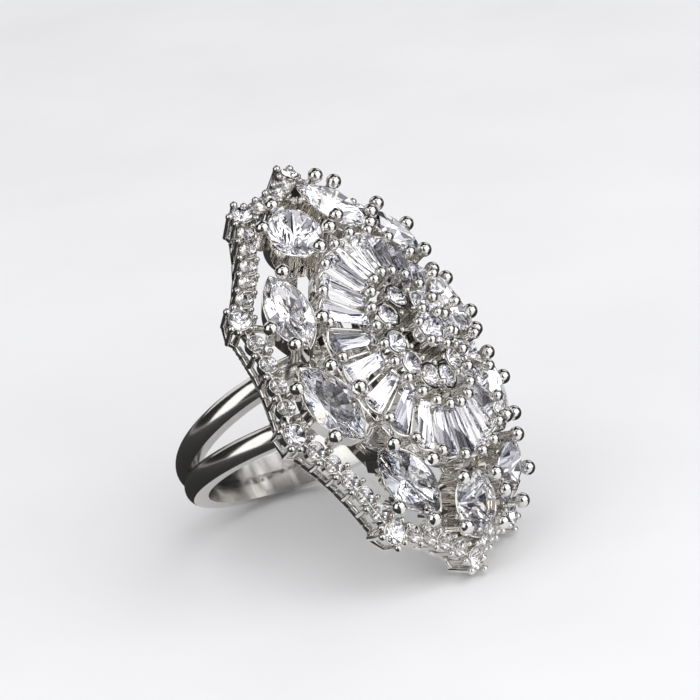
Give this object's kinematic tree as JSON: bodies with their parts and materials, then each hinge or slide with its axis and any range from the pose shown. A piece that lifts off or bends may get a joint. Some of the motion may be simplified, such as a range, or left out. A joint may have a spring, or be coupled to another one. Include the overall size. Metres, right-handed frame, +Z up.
{
  "type": "statement ring",
  "caption": "Large domed oval cocktail ring on a split shank, set with marquise, baguette and round clear stones in an open silver head.",
  "frame": {"origin": "middle of the bounding box's bottom face, on the surface that the ring lies on", "axes": "+Z up; the ring lies on its lower head tip, the next corner and the back of the shank, and the stones face up, +X and a little towards -Y"},
  "size_m": [0.0302, 0.031, 0.0302],
  "materials": {
    "silver": "mirror-polished white metal",
    "stone": "polished colourless cut stone"
  },
  "bodies": {
    "root": {"ring_mount": "silver", "border_stones": "stone", "cluster_stones": "stone", "centre_stone": "stone", "marquise_1": "stone", "marquise_2": "stone", "marquise_3": "stone", "marquise_4": "stone", "marquise_5": "stone", "marquise_6": "stone", "marquise_7": "stone", "marquise_8": "stone", "marquise_9": "stone", "marquise_10": "stone", "baguette_1": "stone", "baguette_2": "stone", "baguette_3": "stone", "baguette_4": "stone", "baguette_5": "stone", "baguette_6": "stone", "baguette_7": "stone", "baguette_8": "stone", "baguette_9": "stone", "baguette_10": "stone", "baguette_11": "stone", "baguette_12": "stone", "baguette_13": "stone", "baguette_14": "stone", "baguette_15": "stone", "baguette_16": "stone", "baguette_17": "stone", "baguette_18": "stone", "baguette_19": "stone", "baguette_20": "stone", "baguette_21": "stone", "baguette_22": "stone"}
  },
  "joints": []
}
